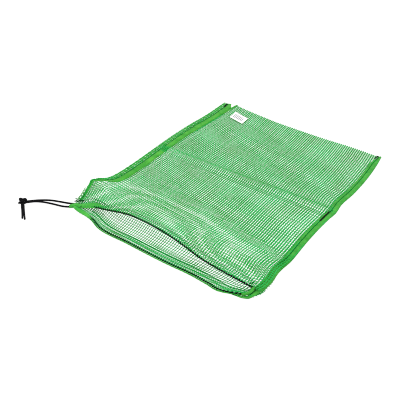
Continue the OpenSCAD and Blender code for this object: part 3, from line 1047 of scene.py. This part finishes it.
def build_tails():
    """The two free ends, side by side, each with a melted tip."""
    lo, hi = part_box("cord_tail_long")
    aim = Vector((hi.x - KNOT.x, lo.y - KNOT.y, 0)).normalized()
    side = Vector((-aim.y, aim.x, 0))
    tip = smooth((np.linspace(0, 1, TAIL_POINTS) - 0.97) / 0.03)
    for name, node, out, length in TAILS:
        points = []
        for s, w in ((3, 0.8), (14, 1.8), (30, 1.7), (46, 1.9), (length, 2.4)):
            p = KNOT + aim * s * MM + side * out * w * MM
            points.append((p.x, p.y))
        path = plane_line(points, 5.5 * MM, CORD_R + 0.1 * MM, TAIL_POINTS)
        tail = cord_tube(name, path, BRAID_R * (1 - 0.35 * tip))
        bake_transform(tail)
        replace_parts(tail, node)


# ---- Gathered corner ----

def ruched(name, path, widths, heights, ripple, phase):
    """Cloth drawn up on the cord: a closed sleeve with uneven gathers across it."""
    s = np.linspace(0, 1, len(path))
    gathers = 1 + ripple * (np.sin(46 * s + phase) + 0.6 * np.sin(71 * s + 2 * phase)) * smooth(s / 0.1)
    return one_tube(name, path, widths * gathers, heights * gathers, GATHER, sides=16)


def build_sleeves():
    """Both hems near the cord's exit, drawn up into sleeves. s runs along each one from the exit."""
    s = np.linspace(0, 1, 70)
    # Back sleeve: along the lower lip, narrowing into the hem
    x = -0.2225 + 0.062 * s
    path = np.stack([x, back_mouth(x) + 4.5 * MM, 4.2 * MM - 0.8 * MM * s], -1)
    path[0] = (EXIT.x + 3 * MM, EXIT.y - 8 * MM, 4 * MM)
    widths = (3.4 + 2.6 * np.sin(math.pi * s) - 1.4 * s) * MM
    sleeve = ruched("gather_back_sleeve", path, widths, (3.2 - 0.6 * s) * MM, 0.07, 0.4)
    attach(sleeve, "bag_mouth")
    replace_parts(sleeve, "corner_gather")
    # Front sleeve: along the lip, wide enough to cover the two strands inside it
    u = 0.012 + 0.135 * s
    path = front(u, LIP_EDGE(flat_x(u)) + (2 + 7 * s) * MM, -1.2 * MM)
    path[0] = (EXIT.x + 4 * MM, EXIT.y - 5 * MM, 5 * MM)
    widths = (4.2 + 6.0 * smooth(s / 0.5)) * MM * (1 - 0.75 * smooth((s - 0.72) / 0.28))
    over_lip(ruched("gather_front_sleeve", path, widths, (3.0 - 1.2 * s) * MM, 0.08, 1.3))


FRILL_START, FRILL_END = -0.276, -0.232


def build_frill():
    """The seam allowance, standing in loops from the corner up to the raised seam."""
    parts = Parts()
    y = np.linspace(FRILL_START, FRILL_END, 90)
    run = (y - FRILL_START) / (FRILL_END - FRILL_START)
    for layer, (swing, turns, height) in enumerate(((2.4, 9, 2.5), (1.8, 12, 4.5))):
        path = left_seam(y, 3 * MM)
        path[:, 0] += swing * MM * np.sin(turns * math.pi * run + layer) - 1.5 * MM
        path[:, 2] += height * MM + 1.6 * MM * np.cos(turns * math.pi * run)
        parts.tube(path, 0.9 * MM, 0.6 * MM, sides=6)
    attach(parts.build("gather_frill", [GATHER]), "bag_mouth")


def build_corner_roll():
    """The far left corner of the net is rolled over beside the end of the tape."""
    t = np.linspace(0, 1, 40)
    path = np.stack([-0.2045 + 3 * MM * t, 0.245 + 0.073 * t, 2.6 * MM + 0.4 * MM * np.sin(9 * t)], -1)
    width = 1.9 * MM * (0.3 + 0.7 * smooth(t / 0.3))
    roll = one_tube("net_far_corner_roll", path, width, 1.1 * MM, TAPE, sides=8)
    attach(roll, "bag_bottom")


# (x, y) of the stitches along the top of the gathered front hem
GATHER_STITCHES = [(-0.23, -0.272), (-0.216, -0.27), (-0.207, -0.264), (-0.193, -0.253), (-0.168, -0.256),
                   (-0.15, -0.259)]


def build_gather_stitches():
    line = plane_line(GATHER_STITCHES, 0, 0, 60)
    u = (line[:, 0] + HALF_W) / (2 * HALF_W)
    line[:, 2] = front(u, line[:, 1] - 12 * MM)[:, 2] + 4.5 * MM
    over_lip(stitches("thread_front_gather", line, 5 * MM, 0.2 * MM, 0.8 * MM))


# ---- Care label ----

LABEL_T = 0.35 * MM
LABEL_OVER = 1.3 * MM  # its height over the front layer
SKEW_X, SKEW_Y = 4 * MM, 13 * MM  # the label was sewn on a little askew
label_lo, label_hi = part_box("care_label")
LABEL_Z = float(front(np.array((label_lo.x + HALF_W) / (2 * HALF_W)), np.array(label_lo.y))[2]) + LABEL_OVER


def label_point(fx, fy):
    """Point of the label's top: fx runs across the bag and fy along it, both from 0 to 1."""
    x = label_lo.x + 1 * MM + 1.13 * fx * (label_hi.x - label_lo.x) - SKEW_X * (fy - 0.5)
    y = label_lo.y - 6 * MM + 1.04 * fy * (label_hi.y - label_lo.y) - SKEW_Y * (fx - 0.5)
    curl = 1.5 * MM * (1 - fy) ** 2 * (0.6 + 0.4 * fx)
    ripple = 0.35 * MM * math.sin(5 * fx + 2 * fy)
    return Vector((x, y, LABEL_Z + (curl + ripple)))


def over_label_seam(obj):
    """Cloth of the label: bakes its transform into its mesh."""
    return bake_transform(obj)


def build_label_tape():
    nx, ny = 24, 18  # squares across the label and along it
    top = [label_point(i / nx, j / ny) for j in range(ny + 1) for i in range(nx + 1)]
    points = top + [point - Vector((0, 0, LABEL_T)) for point in top]
    a, b = np.arange(len(points)).reshape(2, ny + 1, nx + 1)  # places of the top and of the underside

    def quads(one, other):
        """Faces between rows of places, in turn from one side and from the side across."""
        return np.stack([np.stack(one, -1), np.stack(other, -1)], -2).reshape(-1, 4).tolist()

    faces = quads((a[:-1, :-1], a[:-1, 1:], a[1:, 1:], a[1:, :-1]),
                  (b[1:, :-1], b[1:, 1:], b[:-1, 1:], b[:-1, :-1]))
    faces += quads((b[0, :-1], b[0, 1:], a[0, 1:], a[0, :-1]), (b[-1, 1:], b[-1, :-1], a[-1, :-1], a[-1, 1:]))
    faces += quads((b[1:, 0], b[:-1, 0], a[:-1, 0], a[1:, 0]), (b[:-1, -1], b[1:, -1], a[1:, -1], a[:-1, -1]))
    label = new_object("care_label_tape", points, faces, [LABEL])
    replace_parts(over_label_seam(label), "care_label")


# Generic marks: short bars that read as print, with no lettering. (fx of a line, lengths of its bars)
MARKS = [(0.17, (0.50,)), (0.27, (0.24, 0.24)), (0.37, (0.52,)), (0.47, (0.18, 0.30)), (0.57, (0.55,)),
         (0.67, (0.26, 0.20)), (0.77, (0.48,))]
MARK_START, MARK_GAP = 0.22, 0.07


def build_label_marks():
    parts = Parts()
    for fx, bars in MARKS:
        fy = MARK_START
        for bar in bars:
            path = np.array([label_point(fx, fy + bar * k / 5) for k in range(6)]) + (0, 0, 0.16 * MM)
            parts.tube(path, 1.6 * MM, 0.08 * MM, phase=math.pi / 4)
            fy += bar + MARK_GAP
    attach(parts.build("care_label_marks", [PRINT]), "label_flap")


def build_label_sewing():
    line = np.array([label_point(k / 20, 0.965) for k in range(21)]) + (0, 0, 0.25 * MM)
    seam = stitches("care_label_stitches", line, 2.6 * MM, 1.2 * MM, 0.35 * MM)
    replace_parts(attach(seam, "bag_bottom"), "label_stitches")
    # Two of the free sides are overlocked in green under the edge
    # Painted shadow: a dark green tube under two of the label's free sides, where the label shades the net
    border = [label_point(k / 16, 0.0) for k in range(16)] + [label_point(1.0, k / 12) for k in range(12)]
    border = np.array(border) + (0.3 * MM, -0.9 * MM, -0.6 * MM)
    over_label_seam(one_tube("care_label_painted_shadow", border, 1.5 * MM, 0.6 * MM, PAINTED_LABEL_SHADOW, sides=6))


build_net()
build_right_tape()
build_left_tape()
build_tacks()
build_hem_threads()
build_hem_edge()
build_hem_cord()
build_cord_turn()
build_loop()
build_knot()
build_tails()
build_sleeves()
build_frill()
build_corner_roll()
build_gather_stitches()
build_label_tape()
build_label_marks()
build_label_sewing()


# ---- Stage, light and camera ----

WHITE = (1, 1, 1, 1)
FLOOR_GREY = 0.08
FLOOR_GLOW = 0.93
# Each lamp: name, place, size and power
LAMPS = [("key", (-0.9, -0.6, 1.8), 1.6, 14), ("fill", (1.2, 0.4, 1.7), 1.8, 9)]
# The camera's direction and distance from its target
AZIMUTH, ELEVATION = math.radians(35.8), math.radians(35.4)
DISTANCE = 1.289
TARGET = Vector((-0.0218, -0.1073, 0))
LENS = 53.7


def look(obj, place, way):
    """Puts a lamp or camera at a place, looking along way."""
    obj.location = place
    obj.rotation_euler = way.to_track_quat("-Z", "Y").to_euler()


def build_floor():
    floor = Shader("floor_pale", roughness=0.9, sheen=0.0)
    inputs = floor.bsdf.inputs
    inputs["Base Color"].default_value = (FLOOR_GREY, FLOOR_GREY, FLOOR_GREY, 1)
    inputs["Emission Color"].default_value = WHITE
    inputs["Emission Strength"].default_value = FLOOR_GLOW
    bpy.ops.mesh.primitive_plane_add(size=14, location=(0, 0, -0.05 * MM))
    plane = bpy.context.object
    plane.name = "floor"
    plane.data.materials.append(floor.material)


def build_light():
    world = bpy.data.worlds.new("studio")
    scene.world = world
    world.use_nodes = True
    background = world.node_tree.nodes["Background"].inputs
    background["Color"].default_value = WHITE
    background["Strength"].default_value = 1.0
    for name, place, size, power in LAMPS:
        light = bpy.data.lights.new(name, "AREA")
        light.size = size
        light.energy = power
        look(put(name, light), Vector(place), -Vector(place))


def build_camera():
    level = math.cos(ELEVATION)
    back_way = Vector((math.sin(AZIMUTH) * level, -math.cos(AZIMUTH) * level,
                       math.sin(ELEVATION)))
    data = bpy.data.cameras.new("camera")
    data.sensor_width = 36
    data.lens = LENS
    camera = put("camera", data)
    look(camera, TARGET + back_way * DISTANCE, -back_way)
    scene.camera = camera


build_floor()
build_light()
build_camera()
scene.view_settings.view_transform = "Standard"
scene.cycles.filter_width = 1.0
scene.cycles.use_denoising = False  # denoising smears the mesh of the net
